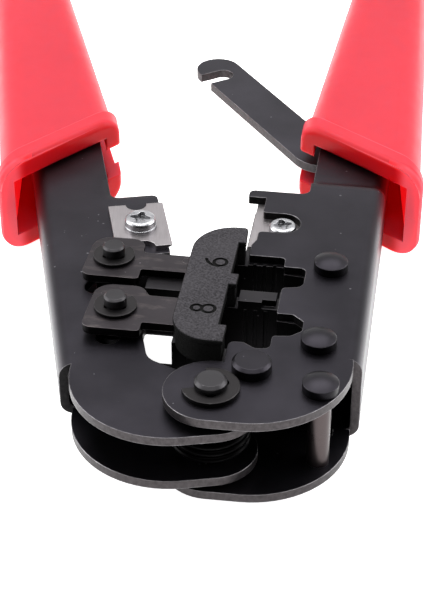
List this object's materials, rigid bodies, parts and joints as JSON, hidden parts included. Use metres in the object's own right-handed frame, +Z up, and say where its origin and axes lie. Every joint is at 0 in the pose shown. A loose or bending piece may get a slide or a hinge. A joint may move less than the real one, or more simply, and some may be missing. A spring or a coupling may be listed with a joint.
{
  "type": "modular plug crimping tool",
  "caption": "Hand crimper for modular phone and network plugs: two hinged steel channel arms in red grips, die block with crimp combs, wire cutter and folding handle strap.",
  "frame": {"origin": "On the main pivot's axis, on the flat end of the pivot pin's head that the tool lies on.", "axes": "+Y along the tool from the pivot toward the handles, midway between the two open arms; +Z up along the pivot; +X toward the arm that carries the die block."},
  "size_m": [0.1058, 0.1891, 0.0213],
  "materials": {
    "black_steel": "satin black phosphate on pressed steel sheet",
    "link_steel": "satin dark phosphate on stamped steel",
    "die_steel": "dark oxide on machined steel",
    "pin_steel": "dark oxide on turned steel",
    "rivet_steel": "satin dark oxide",
    "spring_steel": "oiled black spring wire",
    "bright_steel": "bright turned steel",
    "blade_steel": "ground bare steel",
    "zinc": "bright zinc plate",
    "black_moulding": "fine textured black moulding",
    "red_grip": "smooth satin-gloss red vinyl"
  },
  "bodies": {
    "right_arm": {"right_frame": "black_steel", "right_grip": "red_grip", "pivot_pin": "pin_steel", "pivot_clip": "pin_steel", "thrust_washers": "pin_steel", "pivot_sleeve": "pin_steel", "opening_spring": "spring_steel", "block_rivets": "rivet_steel", "nose_rivet": "rivet_steel", "nose_spacer": "bright_steel", "ear_rivet": "rivet_steel", "die_block": "die_steel", "die_cover": "black_moulding", "lower_cover": "black_moulding", "right_blade": "blade_steel", "right_blade_screw": "zinc", "right_blade_carrier": "die_steel", "strap_pin": "rivet_steel", "strap_spacers": "rivet_steel"},
    "left_arm": {"left_frame": "black_steel", "left_grip": "red_grip", "left_blade": "blade_steel", "left_blade_screw": "zinc", "left_blade_carrier": "die_steel"},
    "punch_8p": {"punch_8p": "die_steel", "comb_8p": "blade_steel", "upper_link_8p": "link_steel", "lower_link_8p": "link_steel", "link_pin_8p": "pin_steel", "link_clips_8p": "pin_steel", "link_washers_8p": "pin_steel", "link_sleeve_8p": "pin_steel", "link_rivets_8p": "link_steel"},
    "punch_6p": {"punch_6p": "die_steel", "comb_6p": "blade_steel", "upper_link_6p": "link_steel", "lower_link_6p": "link_steel", "link_pin_6p": "pin_steel", "link_clips_6p": "pin_steel", "link_washers_6p": "pin_steel", "link_sleeve_6p": "pin_steel", "link_rivets_6p": "link_steel"},
    "strap": {"handle_strap": "black_steel"}
  },
  "joints": [
    {"name": "arm_pivot", "type": "hinge", "parent": "right_arm", "child": "left_arm", "pos_m": [0, 0, 0.01], "axis": [0, 0, -1], "range_deg": [0, 17], "stiffness_Nm_per_rad": 0.6, "springref_deg": -20.05, "deforming": ["opening_spring"]},
    {"name": "punch_8p_slide", "type": "slide", "parent": "right_arm", "child": "punch_8p", "axis": [0.989, -0.1478, 0], "range_m": [0, 0.005]},
    {"name": "punch_6p_slide", "type": "slide", "parent": "right_arm", "child": "punch_6p", "axis": [0.989, -0.1478, 0], "range_m": [0, 0.0078]},
    {"name": "strap_pivot", "type": "hinge", "parent": "right_arm", "child": "strap", "pos_m": [0.02581, 0.08613, 0.01], "axis": [0, 0, -1], "range_deg": [0, 33]}
  ],
  "couplings": [
    {"joint": "punch_8p_slide", "follows": "arm_pivot", "m_per_rad": 0.016852},
    {"joint": "punch_6p_slide", "follows": "arm_pivot", "m_per_rad": 0.026288}
  ]
}
